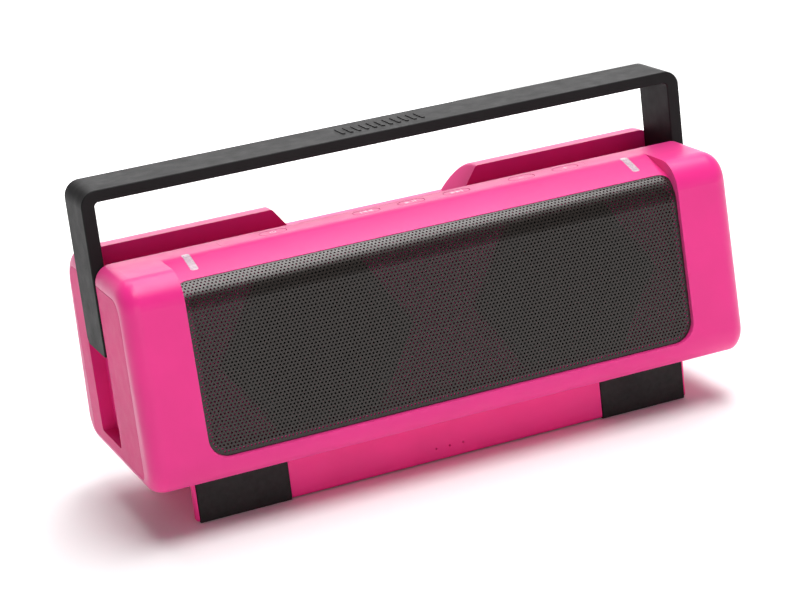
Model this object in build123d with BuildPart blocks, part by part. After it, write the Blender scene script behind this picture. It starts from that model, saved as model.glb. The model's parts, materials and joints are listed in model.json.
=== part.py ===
from build123d import *
from math import cos, radians, sin, tan
import os

os.makedirs("parts", exist_ok=True)

# A portable stereo speaker: a wide hollow body on a low plinth, with a strap handle that slides down
# into a channel in the top. Millimetres, +X to the right, -Y the front with the grille, +Z up.
# The origin is on the standing surface, below the middle of the body.

# Body
body_half_width = 149.35
body_bottom = 25.7
body_top = 121.4
body_half_depth = 56.0  # at the bottom
lean = 4.1  # degrees that the front and the rear lean inwards
bottom_radius = 14.0
front_top_radius = 13.5
rear_top_radius = 20.0
end_radius = 8.0
bottom_flat = 3.0  # how far the bottom is cut into its rounded edges
edge_radius = 1.2
wall = 2.5
cavity_half_width = 145.0
top_inside = body_top - wall
floor_inside = body_bottom + wall

# Channel and slots that the handle slides in
handle_y = 9.25  # middle of the handle, from front to back
channel_half = 16.0
channel_front = handle_y - channel_half
channel_rear = handle_y + channel_half
channel_floor = 106.8
saddle_floor_half = 42.3  # finger gap between the two rear ridges
saddle_slope = 35.5  # degrees that the ridge ends lean outwards

# Handle
handle_half_width = 150.0
handle_half_depth = 14.75
handle_top = 155.34
handle_bottom = 78.7
bar_thickness = 5.6
arm_thickness = 6.3

# Front opening, its recess and the grille
opening_half_width = 121.5
opening_bottom = 36.4
opening_radius = 10.0
recess_depth = 2.0
crease_y = -20.6  # the top is flat behind this line and slopes down ahead of it
strip_slope = 17.9  # degrees
crease_radius = 15.0
grille_bend = 14.0
grille_top_y = -38.8
grille_top_radius = 5.0
grille_thickness = 1.0
grille_gap = 0.3
ledge = 3.0
baffle_depth = 10.0

# Side panels
panel_front = -41.1
panel_rear = 41.1
panel_bottom = 29.6
panel_top = 112.9
panel_radius = 8.0
panel_thickness = 2.5
seam = 0.3
slot_bottom = 34.7
slot_floor = 143.2  # outer face of the slot's floor, from the middle of the body
slot_wall = 2.0
guide_half = 4.0
guide_low, guide_high = 37.6, 98.5

# Plinth and its rubber pads
plinth_half_width = 126.2
plinth_box_half = 106.0  # beyond this only its front and rear walls go on
plinth_half_depth = 31.9
plinth_bottom = 0.6
plinth_wall = 3.2
pad_low_x, pad_high_x = 80.3, 124.4
pad_proud = 0.4
pad_thickness = 2.0
pad_gap = 0.35

# Control strip, keys and light pipes
strip_half_length = 92.5
strip_half_width = 4.8
strip_y = -13.2
strip_depth = 1.3
keys = {
    "power": -66.0,
    "previous": -20.0,
    "play": 2.5,
    "next": 25.5,
    "volume_down": 59.0,
    "volume_up": 82.0,
}
key_length, key_width, key_thickness = 13.0, 6.4, 0.8
key_gap = 0.25
stem_length, stem_width = 6.0, 3.0
key_board_top = 111.0
key_board_posts = (-100.0, -43.0, 42.0, 100.0)
board_thickness = 1.6
switch_height = 3.4
pipe_x = 110.0
pipe_width = 3.6
pipe_front, pipe_rear = -32.6, -18.2
pipe_bottom = 113.0

# Drivers
driver_x = 61.8
driver_z = 74.6
plate_half_width, plate_flat_half, plate_half_height = 46.5, 24.5, 34.5
plate_thickness = 2.0
gasket_thickness = 0.8
basket_radius = 29.0
driver_screw_x, driver_screw_y = 28.5, 22.0

# Screws
case_screws = [(x, z) for x in (-126.5, 0.0, 126.5) for z in (40.0, 96.0)]
plinth_screws = [(x, y) for x in (-100.0, 100.0) for y in (-18.0, 18.0)]
shank = 1.2
pilot = 1.25
clearance = 1.7
head_radius, head_height = 2.8, 2.2
counterbore = 3.3
boss = 4.2

# Boards in the body
main_board_size = (100.0, 42.0)
main_board_at = (0.0, 23.0, 48.0)
board_hole_inset = 5.0
socket_x, socket_z = -85.0, 50.0
socket_plate_size = (50.0, 22.0)
socket_plate_thickness = 1.2

far = 200.0
lean_run = tan(radians(lean))
sides = {"left": -1, "right": 1}


def front_y(z, depth=0.0):
    """The front plane at height z, or a plane the given depth behind it."""
    return -body_half_depth + depth + lean_run * (z - body_bottom)


def rear_y(z, depth=0.0):
    """The rear plane at height z, or a plane the given depth inside it."""
    return -front_y(z, depth)


def box_between(low, high, mode=Mode.ADD):
    """A box from its lowest to its highest corner, in the part being built."""
    with Locations(tuple((a + b) / 2 for a, b in zip(low, high))):
        Box(*[b - a for a, b in zip(low, high)], mode=mode)


def rod(start, axis, radius, length, mode=Mode.ADD):
    """A round bar from start, along a row axis, in the part being built."""
    with BuildSketch(Plane(start, z_dir=axis)) as end:
        Circle(radius)
    extrude(end.sketch, amount=length, mode=mode)


def body_outline(inset=0.0):
    """The body's side outline: leaning front and rear, every corner rounded."""
    low = body_bottom - bottom_flat
    with BuildSketch(Plane.YZ) as outline:
        with BuildLine():
            Polyline(
                (front_y(low), low),
                (front_y(body_top), body_top),
                (rear_y(body_top), body_top),
                (rear_y(low), low),
                close=True,
            )
        make_face()
        fillet(outline.vertices().group_by(Axis.Y)[0], bottom_radius)
        fillet(outline.vertices().group_by(Axis.Y)[-1].sort_by(Axis.X)[0], front_top_radius)
        fillet(outline.vertices().group_by(Axis.Y)[-1].sort_by(Axis.X)[-1], rear_top_radius)
        if inset:
            offset(amount=-inset, mode=Mode.REPLACE)
    return outline.sketch


def opening_outline(depth=0.0, top_y=channel_front):
    """What lies ahead of the recess, or of a surface the given depth below it, from the side."""
    run = cos(radians(strip_slope))
    drop = sin(radians(strip_slope))
    start = (crease_y + depth * drop, body_top - depth * run)
    reach = (start[0] - front_y(start[1], recess_depth + depth)) / (run - lean_run * drop)
    corner = (start[0] - reach * run, start[1] - reach * drop)
    bend_y = crease_y + crease_radius * tan(radians(strip_slope / 2))
    bend = [
        (
            bend_y - (crease_radius - depth) * sin(radians(angle)),
            body_top - crease_radius + (crease_radius - depth) * cos(radians(angle)),
        )
        for angle in (0, strip_slope / 2, strip_slope)
    ]
    with BuildSketch(Plane.YZ) as outline:
        with BuildLine():
            ThreePointArc(*bend)
            Polyline(
                bend[2],
                corner,
                (front_y(opening_bottom, recess_depth + depth), opening_bottom),
                (-far, opening_bottom),
                (-far, far),
                (bend_y, far),
                bend[0],
            )
        make_face()
        fillet(outline.vertices().sort_by_distance(corner)[0], grille_bend - depth)
        with Locations((top_y + far, 0)):
            Rectangle(2 * far, 4 * far, mode=Mode.SUBTRACT)
    return outline.sketch


def saddle_outline(margin=0.0):
    """The finger gap from the front: a flat floor between two leaning ends."""
    low = channel_floor - margin
    out = tan(radians(saddle_slope))
    half = saddle_floor_half - margin * out + margin / cos(radians(saddle_slope))
    high = body_top + 20
    with BuildSketch(Plane.XZ) as outline:
        with BuildLine():
            Polyline(
                (-half, low),
                (half, low),
                (half + (high - low) * out, high),
                (-half - (high - low) * out, high),
                close=True,
            )
        make_face()
    return outline.sketch


def panel_outline(gap=0.0, inset=0.0):
    """The side panel's outline, with large upper corners and small lower ones."""
    low, high = panel_bottom + gap + inset, panel_top - gap - inset
    front, rear = panel_front + gap + inset, panel_rear - gap - inset
    with BuildSketch(Plane.YZ) as outline:
        with Locations(((front + rear) / 2, (low + high) / 2)):
            Rectangle(rear - front, high - low)
        fillet(outline.vertices().group_by(Axis.Y)[-1], panel_radius - gap - inset / 2)
        fillet(outline.vertices().group_by(Axis.Y)[0], panel_radius / 2 - gap - inset / 2)
    return outline.sketch


def driver_plane(x, out=0.0):
    """A plane on the baffle at a driver's middle, facing out of the speaker."""
    facing = (0, -cos(radians(lean)), sin(radians(lean)))
    at = (x, front_y(driver_z, baffle_depth) + out * facing[1], driver_z + out * facing[2])
    return Plane(at, x_dir=(1, 0, 0), z_dir=facing)


def driver_section(x):
    """A plane through a driver's axis: across is the radius, up is out of the speaker."""
    along = (0, -sin(radians(lean)), -cos(radians(lean)))
    return Plane(driver_plane(x).origin, x_dir=(1, 0, 0), z_dir=along)


def driver_ring(x, outline):
    """Turns an outline of (radius, height) points around a driver's axis, in the part being built."""
    with BuildSketch(driver_section(x)) as section:
        with BuildLine():
            Polyline(*outline, close=True)
        make_face()
    revolve(section.sketch, axis=Axis(driver_plane(x).origin, driver_plane(x).z_dir))


def rear_plane(x, z, out=0.0):
    """A plane on the rear wall, facing out of the speaker."""
    facing = (0, cos(radians(lean)), sin(radians(lean)))
    return Plane(
        (x, rear_y(z) + out * facing[1], z + out * facing[2]), x_dir=(-1, 0, 0), z_dir=facing
    )


# Stock that several sub-parts are cut from
with BuildPart() as body_block:
    extrude(body_outline(), amount=body_half_width, both=True)
    fillet(body_block.faces().filter_by(Axis.X).edges(), end_radius)
    box_between((-far, -far, 0), (far, far, body_bottom), Mode.SUBTRACT)
    fillet(body_block.faces().sort_by(Axis.Z)[0].edges(), edge_radius)

with BuildPart() as body_cavity:
    extrude(body_outline(wall), amount=cavity_half_width, both=True)
    box_between((-far, -far, 0), (far, far, floor_inside), Mode.SUBTRACT)

with BuildPart() as recess:
    extrude(opening_outline(), amount=opening_half_width, both=True)
    fillet(recess.edges().filter_by(Axis.Y).group_by(Axis.Z)[0], opening_radius)

with BuildPart() as grille_pocket:
    extrude(opening_outline(grille_thickness, grille_top_y), amount=opening_half_width, both=True)
    fillet(grille_pocket.edges().filter_by(Axis.Y).group_by(Axis.Z)[0], opening_radius)
    fillet(grille_pocket.edges().filter_by(Axis.Z).group_by(Axis.Y)[-1], grille_top_radius)

with BuildPart() as window:
    window_low, window_high = opening_bottom + ledge, panel_top - 0.6
    with BuildSketch(Plane.YZ):
        with BuildLine():
            Polyline(
                (front_y(window_low, baffle_depth), window_low),
                (front_y(window_high, baffle_depth), window_high),
                (-far, window_high),
                (-far, window_low),
                close=True,
            )
        make_face()
    extrude(amount=opening_half_width - ledge, both=True)
    fillet(window.edges().filter_by(Axis.Y), opening_radius - ledge)

with BuildPart() as tub:
    tub_low, tub_high = opening_bottom - wall, body_top - 8.4
    with BuildSketch(Plane.YZ):
        with BuildLine():
            Polyline(
                (-far, tub_low),
                (front_y(tub_low, baffle_depth + wall), tub_low),
                (front_y(tub_high, baffle_depth + wall), tub_high),
                (crease_y, top_inside),
                (crease_y, far),
                (-far, far),
                close=True,
            )
        make_face()
    extrude(amount=opening_half_width + wall, both=True)

with BuildPart() as front_cavity:
    add(body_cavity.part)
    box_between((-far, channel_front, 0), (far, far, far), Mode.SUBTRACT)
    box_between((-far, channel_front - wall, channel_floor - wall), (far, far, far), Mode.SUBTRACT)
    add(tub.part, mode=Mode.SUBTRACT)

with BuildPart() as rear_cavity:
    add(body_cavity.part)
    box_between((-far, -far, 0), (far, channel_front, far), Mode.SUBTRACT)
    box_between((-far, -far, channel_floor - wall), (far, channel_rear + wall, far), Mode.SUBTRACT)
    extrude(saddle_outline(wall), amount=far, both=True, mode=Mode.SUBTRACT)

with BuildPart() as panel_opening:
    extrude(panel_outline(), amount=body_half_width + 1, both=True)
    box_between(
        (panel_thickness - body_half_width, -far, 0),
        (body_half_width - panel_thickness, far, far),
        Mode.SUBTRACT,
    )

with BuildPart() as ledge_opening:
    extrude(panel_outline(inset=ledge), amount=body_half_width, both=True)
    box_between((0.5 - cavity_half_width, -far, 0), (cavity_half_width - 0.5, far, far), Mode.SUBTRACT)

with BuildPart() as handle_channel:
    box_between(
        (-far, channel_front, channel_floor),
        (far, channel_rear, far),
    )
    for sign in sides.values():
        inner, outer = sorted((sign * 139.0, sign * far))
        box_between((inner, channel_front, channel_floor - 2 * wall), (outer, channel_rear, far))


# Front shell: the face with the grille opening, the control strip and the channel's front wall
with BuildPart() as front_shell:
    add(body_block.part)
    box_between((-far, channel_front, 0), (far, far, far), Mode.SUBTRACT)
    add(front_cavity.part, mode=Mode.SUBTRACT)
    add(recess.part, mode=Mode.SUBTRACT)
    add(grille_pocket.part, mode=Mode.SUBTRACT)
    add(window.part, mode=Mode.SUBTRACT)
    add(panel_opening.part, mode=Mode.SUBTRACT)
    add(ledge_opening.part, mode=Mode.SUBTRACT)
    # Bosses that the case screws, the plinth screws and the driver screws bite into
    for x, z in case_screws:
        rod((x, channel_front, z), (0, -1, 0), boss, channel_front - front_y(z, baffle_depth + 1))
    for x, y in plinth_screws:
        if y < channel_front:
            rod((x, y, floor_inside - 1), (0, 0, 1), boss, 9)
    for x in (-driver_x, driver_x):
        with BuildSketch(driver_plane(x, 0.5 - wall)):
            with GridLocations(2 * driver_screw_x, 2 * driver_screw_y, 2, 2):
                Circle(3.2)
        extrude(amount=-5)
    for x in key_board_posts:
        rod((x, strip_y, key_board_top), (0, 0, 1), 2.2, top_inside - key_board_top)
    for x, z in case_screws:
        rod((x, channel_front, z), (0, -1, 0), pilot, 16, Mode.SUBTRACT)
    for x, y in plinth_screws:
        rod((x, y, 0), (0, 0, 1), pilot, 35, Mode.SUBTRACT)
    for x in key_board_posts:
        rod((x, strip_y, key_board_top), (0, 0, 1), 0.85, 6, Mode.SUBTRACT)
    for x in (-driver_x, driver_x):
        with BuildSketch(driver_plane(x, 1)):
            Circle(basket_radius + 0.5)
        extrude(amount=-8, mode=Mode.SUBTRACT)
        with BuildSketch(driver_plane(x, 1)):
            with GridLocations(2 * driver_screw_x, 2 * driver_screw_y, 2, 2):
                Circle(pilot)
        extrude(amount=-7.5, mode=Mode.SUBTRACT)
    # Recess for the control strip, with a hole below each key
    with BuildSketch(Plane.XY.offset(body_top - strip_depth)):
        with Locations((0, strip_y)):
            RectangleRounded(2 * strip_half_length, 2 * strip_half_width, 2.5)
    extrude(amount=strip_depth + 1, mode=Mode.SUBTRACT)
    with BuildSketch(Plane.XY.offset(top_inside - 1)):
        with Locations([(x, strip_y) for x in keys.values()]):
            RectangleRounded(stem_length + 0.6, stem_width + 0.6, 0.8)
    extrude(amount=wall + 2, mode=Mode.SUBTRACT)
    # Slots for the light pipes
    with BuildSketch(Plane.XY.offset(pipe_bottom - 1)):
        with Locations([(sign * pipe_x, (pipe_front + pipe_rear) / 2) for sign in sides.values()]):
            RectangleRounded(pipe_width + 0.1, pipe_rear - pipe_front + 0.1, 1.25)
    extrude(amount=20, mode=Mode.SUBTRACT)
front_shell.part.label = "front_shell"
export_step(front_shell.part, "parts/front_shell.step")

# Rear shell: the back, the floor of the handle channel and the two ridges beside the finger gap
with BuildPart() as rear_shell:
    add(body_block.part)
    box_between((-far, -far, 0), (far, channel_front, far), Mode.SUBTRACT)
    extrude(saddle_outline(), amount=far, both=True, mode=Mode.SUBTRACT)
    add(handle_channel.part, mode=Mode.SUBTRACT)
    ridge_edges = rear_shell.edges().filter_by(
        lambda edge: edge.center().Z > channel_floor + 1
        and edge.center().Y > channel_rear + 0.5
        and saddle_floor_half < abs(edge.center().X) < saddle_floor_half + 14
    )
    fillet(ridge_edges, 2)
    add(rear_cavity.part, mode=Mode.SUBTRACT)
    add(panel_opening.part, mode=Mode.SUBTRACT)
    add(ledge_opening.part, mode=Mode.SUBTRACT)
    for x, z in case_screws:
        rod((x, channel_front, z), (0, 1, 0), boss, rear_y(z, 1) - channel_front)
    for x, y in plinth_screws:
        if y > channel_front:
            rod((x, y, floor_inside - 1), (0, 0, 1), boss, 9)
    with BuildSketch(Plane.XY.offset(floor_inside - 1)):
        with Locations(main_board_at[:2]):
            with GridLocations(*[side - 2 * board_hole_inset for side in main_board_size], 2, 2):
                Circle(3)
    extrude(amount=main_board_at[2] - floor_inside + 1)
    for x, z in case_screws:
        rod((x, channel_front, z), (0, 1, 0), clearance, far, Mode.SUBTRACT)
        rod((x, handle_y + 5, z), (0, 1, 0), counterbore, far, Mode.SUBTRACT)
    for x, y in plinth_screws:
        rod((x, y, 0), (0, 0, 1), pilot, 35, Mode.SUBTRACT)
    with BuildSketch(Plane.XY.offset(main_board_at[2])):
        with Locations(main_board_at[:2]):
            with GridLocations(*[side - 2 * board_hole_inset for side in main_board_size], 2, 2):
                Circle(0.85)
    extrude(amount=-7, mode=Mode.SUBTRACT)
    # Passage for the battery lead, and the pocket and window for the socket plate
    box_between((-10, 2, 0), (10, 10, floor_inside + 1), Mode.SUBTRACT)
    with BuildSketch(rear_plane(socket_x, socket_z, -socket_plate_thickness)):
        RectangleRounded(*socket_plate_size, 3)
    extrude(amount=5, mode=Mode.SUBTRACT)
    with BuildSketch(rear_plane(socket_x, socket_z, -2 * wall)):
        Rectangle(*[side - 4 for side in socket_plate_size])
    extrude(amount=10, mode=Mode.SUBTRACT)
rear_shell.part.label = "rear_shell"
export_step(rear_shell.part, "parts/rear_shell.step")

# Side panels: flush inserts, each with the sunken slot that one arm of the handle slides in
for side, sign in sides.items():
    with BuildPart() as side_panel:
        extrude(panel_outline(seam), amount=body_half_width)
        box_between((0, -far, 0), (body_half_width - panel_thickness, far, far), Mode.SUBTRACT)
        box_between(
            (slot_floor - slot_wall, channel_front - slot_wall, slot_bottom - slot_wall),
            (body_half_width - 1, channel_rear + slot_wall, channel_floor - wall - 0.3),
        )
        box_between(
            (slot_floor - slot_wall, channel_front, slot_bottom),
            (slot_floor, channel_rear, channel_floor - 0.2),
        )
        with BuildSketch(Plane.YZ.offset(slot_floor)):
            with Locations((handle_y, slot_bottom + far / 2)):
                RectangleRounded(2 * channel_half, far, 2)
        extrude(amount=20, mode=Mode.SUBTRACT)
        box_between(
            (0, handle_y - guide_half, guide_low),
            (far, handle_y + guide_half, guide_high),
            Mode.SUBTRACT,
        )
        # Hooks that snap behind the rim of the shells
        for y, z in ((-28, 50), (-28, 90), (34.5, 50), (34.5, 90)):
            box_between(
                (cavity_half_width - 1.6, y - 4, z - 5), (body_half_width - 1, y - 2.4, z + 5)
            )
        if sign < 0:
            mirror(about=Plane.YZ, mode=Mode.REPLACE)
    side_panel.part.label = f"side_panel_{side}"
    export_step(side_panel.part, f"parts/side_panel_{side}.step")

# Plinth: a box under the body, whose front and rear walls run on past its ends, sunk where the
# rubber pads wrap around it
with BuildPart() as base_plinth:
    box_between(
        (-plinth_half_width, -plinth_half_depth, plinth_bottom),
        (plinth_half_width, plinth_half_depth, body_bottom),
    )
    fillet(base_plinth.edges().filter_by(Axis.Z), 2.0)
    fillet(base_plinth.faces().sort_by(Axis.Z)[0].edges(), 1.5)
    plinth_inside = plinth_half_depth - plinth_wall
    box_between(
        (plinth_wall - plinth_box_half, -plinth_inside, plinth_bottom + plinth_wall),
        (plinth_box_half - plinth_wall, plinth_inside, far),
        Mode.SUBTRACT,
    )
    for sign in sides.values():
        low_x, high_x = sorted((sign * plinth_box_half, sign * far))
        box_between((low_x, -plinth_inside, 0), (high_x, plinth_inside, far), Mode.SUBTRACT)
    for x, y in plinth_screws:
        rod((x, y, plinth_bottom + 1), (0, 0, 1), 5.2, body_bottom - plinth_bottom - 1)
    for sign in sides.values():
        low_x, high_x = sorted((sign * pad_low_x, sign * pad_high_x))
        with BuildSketch(Plane.YZ.offset(low_x - pad_gap)) as sunk:
            with Locations((0, body_bottom / 2)):
                Rectangle(2 * plinth_half_depth + 2, body_bottom + 2)
            with Locations((0, body_bottom)):
                Rectangle(
                    2 * (plinth_half_depth - pad_thickness + pad_proud),
                    2 * (body_bottom - pad_thickness),
                    mode=Mode.SUBTRACT,
                )
        extrude(sunk.sketch, amount=high_x - low_x + 2 * pad_gap, mode=Mode.SUBTRACT)
    for x, y in plinth_screws:
        rod((x, y, 0), (0, 0, 1), counterbore, body_bottom - 8, Mode.SUBTRACT)
        rod((x, y, 0), (0, 0, 1), clearance, far, Mode.SUBTRACT)
    for x in (-7.0, 0.0, 7.0):
        rod((x, 0, 6.6), (0, -1, 0), 0.5, far, Mode.SUBTRACT)
base_plinth.part.label = "base_plinth"
export_step(base_plinth.part, "parts/base_plinth.step")

# Rubber pads: each wraps the front, the bottom and the back of the plinth near one end
for side, sign in sides.items():
    with BuildPart() as foot_pad:
        low_x, high_x = sorted((sign * pad_low_x, sign * pad_high_x))
        half = plinth_half_depth + pad_proud
        box_between((low_x, -half, 0), (high_x, half, body_bottom - 0.3))
        fillet(foot_pad.edges().filter_by(Axis.X).group_by(Axis.Z)[0], 1.2)
        box_between(
            (low_x, pad_thickness - half, pad_thickness), (high_x, half - pad_thickness, far),
            Mode.SUBTRACT,
        )
        low_x, high_x = sorted((sign * plinth_box_half, sign * far))
        box_between((low_x, -plinth_inside, -1), (high_x, plinth_inside, far), Mode.SUBTRACT)
    foot_pad.part.label = f"foot_pad_{side}"
    export_step(foot_pad.part, f"parts/foot_pad_{side}.step")

# Grille: a bent steel sheet, flush with the slope of the top
with BuildPart() as grille:
    extrude(
        opening_outline(grille_thickness, grille_top_y - grille_gap),
        amount=opening_half_width - grille_gap,
        both=True,
    )
    box_between((-far, -far, 0), (far, far, opening_bottom + grille_gap), Mode.SUBTRACT)
    fillet(grille.edges().filter_by(Axis.Y).group_by(Axis.Z)[0], opening_radius - grille_gap)
    fillet(grille.edges().filter_by(Axis.Z).group_by(Axis.Y)[-1], grille_top_radius - grille_gap)
    extrude(opening_outline(), amount=far, both=True, mode=Mode.SUBTRACT)
grille.part.label = "grille"
export_step(grille.part, "parts/grille.step")

# Handle: one flat strap bent into a bar and two arms
with BuildPart() as carry_handle:
    with BuildSketch(Plane.XZ.offset(-handle_y)) as strap:
        with Locations((0, (handle_bottom + handle_top) / 2)):
            Rectangle(2 * handle_half_width, handle_top - handle_bottom)
        fillet(strap.vertices().group_by(Axis.Y)[-1], 7.5)
    extrude(amount=handle_half_depth, both=True)
    with BuildSketch(Plane.XZ.offset(-handle_y)) as hollow:
        with Locations((0, (handle_bottom + handle_top) / 2 - bar_thickness)):
            Rectangle(2 * (handle_half_width - arm_thickness), handle_top - handle_bottom)
        fillet(hollow.vertices().group_by(Axis.Y)[-1], 2.0)
    extrude(amount=2 * handle_half_depth, both=True, mode=Mode.SUBTRACT)
    chamfer(carry_handle.edges().filter_by(Axis.X).group_by(Axis.Z)[0].group_by(Axis.Y)[-1], 3.0)
    long_edges = carry_handle.faces().filter_by(Axis.Y).edges()
    fillet(long_edges.filter_by(lambda edge: edge.center().Z > handle_bottom + 4), 0.7)
    # Screw holes in the arms, and the row of low grip ribs on the bar
    for sign in sides.values():
        for z in (84.0, 94.5):
            rod(
                (sign * (handle_half_width - arm_thickness - 1), handle_y, z),
                (sign, 0, 0), 1.1, 5.8, Mode.SUBTRACT,
            )
    with BuildSketch(Plane.XY.offset(handle_top - 0.2)):
        with Locations((0, handle_y)):
            with GridLocations(4.0, 1, 11, 1):
                RectangleRounded(1.6, 12.0, 0.79)
    extrude(amount=0.6)
carry_handle.part.label = "carry_handle"
export_step(carry_handle.part, "parts/carry_handle.step")

# Sliders that hold the arms in their slots, with the rubber pads that brake them
slider_low, slider_high = 80.2, 98.2
arm_inside = handle_half_width - arm_thickness
guide_inside = slot_floor - slot_wall
for side, sign in sides.items():
    with BuildPart() as handle_slider:
        box_between(
            (guide_inside - 0.3, handle_y - 3.7, slider_low),
            (arm_inside, handle_y + 3.7, slider_high),
        )
        box_between(
            (guide_inside - 4, handle_y - 9, slider_low - 1),
            (guide_inside - 0.3, handle_y + 9, slider_high + 1),
        )
        for y in (-6.5, 6.5):
            box_between(
                (guide_inside - 1.9, handle_y + y - 1.5, slider_low + 2),
                (guide_inside, handle_y + y + 1.5, slider_high - 2),
                Mode.SUBTRACT,
            )
        for z in (84.0, 94.5):
            rod((guide_inside - 5, handle_y, z), (1, 0, 0), 1.1, 20, Mode.SUBTRACT)
            rod((guide_inside - 5, handle_y, z), (1, 0, 0), 2.4, 2.6, Mode.SUBTRACT)
        if sign < 0:
            mirror(about=Plane.YZ, mode=Mode.REPLACE)
    handle_slider.part.label = f"handle_slider_{side}"
    export_step(handle_slider.part, f"parts/handle_slider_{side}.step")

with BuildPart() as brake_pads:
    for sign in sides.values():
        inner, outer = sorted((sign * (guide_inside - 1.9), sign * (guide_inside - 0.1)))
        for y in (-6.5, 6.5):
            box_between(
                (inner, handle_y + y - 1.5, slider_low + 2), (outer, handle_y + y + 1.5, slider_high - 2)
            )
brake_pads.part.label = "brake_pads"
export_step(brake_pads.part, "parts/brake_pads.step")

with BuildPart() as handle_screws:
    for sign in sides.values():
        for z in (84.0, 94.5):
            start = sign * (guide_inside - 2.4)
            rod((start, handle_y, z), (-sign, 0, 0), 2.1, 1.5)
            rod((start, handle_y, z), (sign, 0, 0), 1.0, 9.0)
handle_screws.part.label = "handle_screws"
export_step(handle_screws.part, "parts/handle_screws.step")

# Control strip with a window around each key
with BuildPart() as control_strip:
    with BuildSketch(Plane.XY.offset(body_top - strip_depth)):
        with Locations((0, strip_y)):
            RectangleRounded(2 * strip_half_length - 0.2, 2 * strip_half_width - 0.2, 2.4)
        with Locations([(x, strip_y) for x in keys.values()]):
            RectangleRounded(
                key_length + 2 * key_gap, key_width + 2 * key_gap,
                key_width / 2 + key_gap - 0.01, mode=Mode.SUBTRACT,
            )
    extrude(amount=strip_depth)
control_strip.part.label = "control_strip"
export_step(control_strip.part, "parts/control_strip.step")

# Keys: a flush cap, a stem through the shell and a tip that enters its switch
stem_bottom = key_board_top + switch_height + 0.6
for name, x in keys.items():
    with BuildPart() as key:
        with BuildSketch(Plane.XY.offset(body_top)):
            with Locations((x, strip_y)):
                RectangleRounded(key_length, key_width, key_width / 2 - 0.01)
        extrude(amount=-key_thickness)
        fillet(key.faces().sort_by(Axis.Z)[-1].edges(), 0.25)
        with BuildSketch(Plane.XY.offset(body_top - 0.4)):
            with Locations((x, strip_y)):
                RectangleRounded(stem_length, stem_width, 0.5)
        extrude(amount=stem_bottom - body_top + 0.4)
        rod((x, strip_y, stem_bottom + 0.5), (0, 0, -1), 0.8, 2.0)
        # Barbs that catch below the shell
        box_between(
            (x - 3.6, strip_y - 1, top_inside - 1.3), (x + 3.6, strip_y + 1, top_inside - 0.3)
        )
    key.part.label = f"key_{name}"
    export_step(key.part, f"parts/key_{name}.step")

with BuildPart() as tact_switches:
    with BuildSketch(Plane.XY.offset(key_board_top)):
        with Locations([(x, strip_y) for x in keys.values()]):
            RectangleRounded(6, 6, 0.6)
            Circle(1.1, mode=Mode.SUBTRACT)
    extrude(amount=switch_height)
tact_switches.part.label = "tact_switches"
export_step(tact_switches.part, "parts/tact_switches.step")

with BuildPart() as key_board:
    with BuildSketch(Plane.XY.offset(key_board_top)):
        with Locations((0, -20.0)):
            RectangleRounded(232, 20, 1.5)
        with Locations([(x, strip_y) for x in key_board_posts]):
            Circle(1.3, mode=Mode.SUBTRACT)
    extrude(amount=-board_thickness)
key_board.part.label = "key_board"
export_step(key_board.part, "parts/key_board.step")

with BuildPart() as key_board_screws:
    for x in key_board_posts:
        rod((x, strip_y, key_board_top - board_thickness), (0, 0, -1), 2.0, 1.4)
        rod((x, strip_y, key_board_top - board_thickness), (0, 0, 1), 0.8, 6.5)
key_board_screws.part.label = "key_board_screws"
export_step(key_board_screws.part, "parts/key_board_screws.step")

with BuildPart() as status_leds:
    with BuildSketch(Plane.XY.offset(key_board_top)):
        with Locations([(sign * pipe_x, (pipe_front + pipe_rear) / 2) for sign in sides.values()]):
            RectangleRounded(3.2, 5.0, 0.3)
    extrude(amount=1.6)
status_leds.part.label = "status_leds"
export_step(status_leds.part, "parts/status_leds.step")

# Light pipes that come through the slope of the top, flush with it
for side, sign in sides.items():
    with BuildPart() as light_pipe:
        with BuildSketch(Plane.XY.offset(pipe_bottom)):
            with Locations((sign * pipe_x, (pipe_front + pipe_rear) / 2)):
                RectangleRounded(pipe_width, pipe_rear - pipe_front, 1.2)
        extrude(amount=body_top - pipe_bottom)
        extrude(opening_outline(), amount=far, both=True, mode=Mode.SUBTRACT)
    light_pipe.part.label = f"light_pipe_{side}"
    export_step(light_pipe.part, f"parts/light_pipe_{side}.step")

# Battery, lying in the plinth
with BuildPart() as battery_pack:
    with BuildSketch(Plane.YZ):
        with Locations((0, plinth_bottom + plinth_wall + 9.2)):
            RectangleRounded(37.2, 18.4, 9.19)
    extrude(amount=65.5, both=True)
    fillet(battery_pack.faces().filter_by(Axis.X).edges(), 0.8)
battery_pack.part.label = "battery_pack"
export_step(battery_pack.part, "parts/battery_pack.step")

# Small board with the three charge lights, behind the pin holes in the plinth
with BuildPart() as level_light_board:
    inner_face = plinth_wall - plinth_half_depth
    floor = plinth_bottom + plinth_wall
    box_between((-13, inner_face + 1.6, floor), (13, inner_face + 2.8, floor + 8))
    for x in (-7.0, 0.0, 7.0):
        box_between((x - 1, inner_face + 0.2, 5.6), (x + 1, inner_face + 1.6, 7.6))
level_light_board.part.label = "level_light_board"
export_step(level_light_board.part, "parts/level_light_board.step")

with BuildPart() as plinth_screws_part:
    for x, y in plinth_screws:
        rod((x, y, body_bottom - 8), (0, 0, -1), head_radius, head_height)
        rod((x, y, body_bottom - 8), (0, 0, 1), shank, 16.5)
plinth_screws_part.part.label = "plinth_screws"
export_step(plinth_screws_part.part, "parts/plinth_screws.step")

with BuildPart() as case_screws_part:
    for x, z in case_screws:
        rod((x, handle_y + 5, z), (0, 1, 0), head_radius, head_height)
        rod((x, handle_y + 5, z), (0, -1, 0), shank, 35.5)
case_screws_part.part.label = "case_screws"
export_step(case_screws_part.part, "parts/case_screws.step")

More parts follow.
